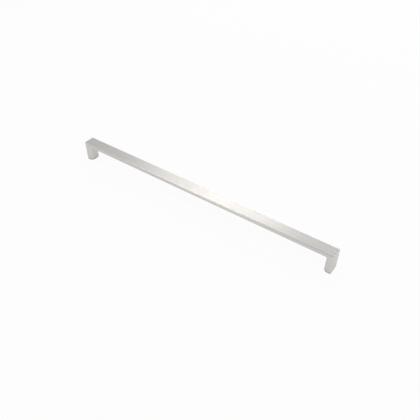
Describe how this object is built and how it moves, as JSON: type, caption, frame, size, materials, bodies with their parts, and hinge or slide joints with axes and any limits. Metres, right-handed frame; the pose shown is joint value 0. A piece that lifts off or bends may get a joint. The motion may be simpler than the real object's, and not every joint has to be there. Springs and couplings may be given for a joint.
{
  "type": "oven door handle",
  "caption": "Long straight oven door handle: a hollow flat-faced bar with an arched back, mitred at each end onto a short cast post with a padded foot.",
  "frame": {"origin": "on the oven door's face, midway between the posts", "axes": "+X along the bar, +Y across it, +Z out from the door"},
  "size_m": [0.58, 0.024, 0.0425],
  "materials": {
    "brushed_aluminium": "brushed along the length, clear anodised",
    "satin_casting": "satin, finished to match the bar",
    "brass": "machined",
    "grey_elastomer": "matt moulded",
    "plated_steel": "zinc plated"
  },
  "bodies": {
    "root": {"bar": "brushed_aluminium", "post_left": "satin_casting", "post_right": "satin_casting", "insert_left": "brass", "insert_right": "brass", "pad_left": "grey_elastomer", "pad_right": "grey_elastomer", "screw_left_1": "plated_steel", "screw_left_2": "plated_steel", "screw_right_1": "plated_steel", "screw_right_2": "plated_steel"}
  },
  "joints": []
}
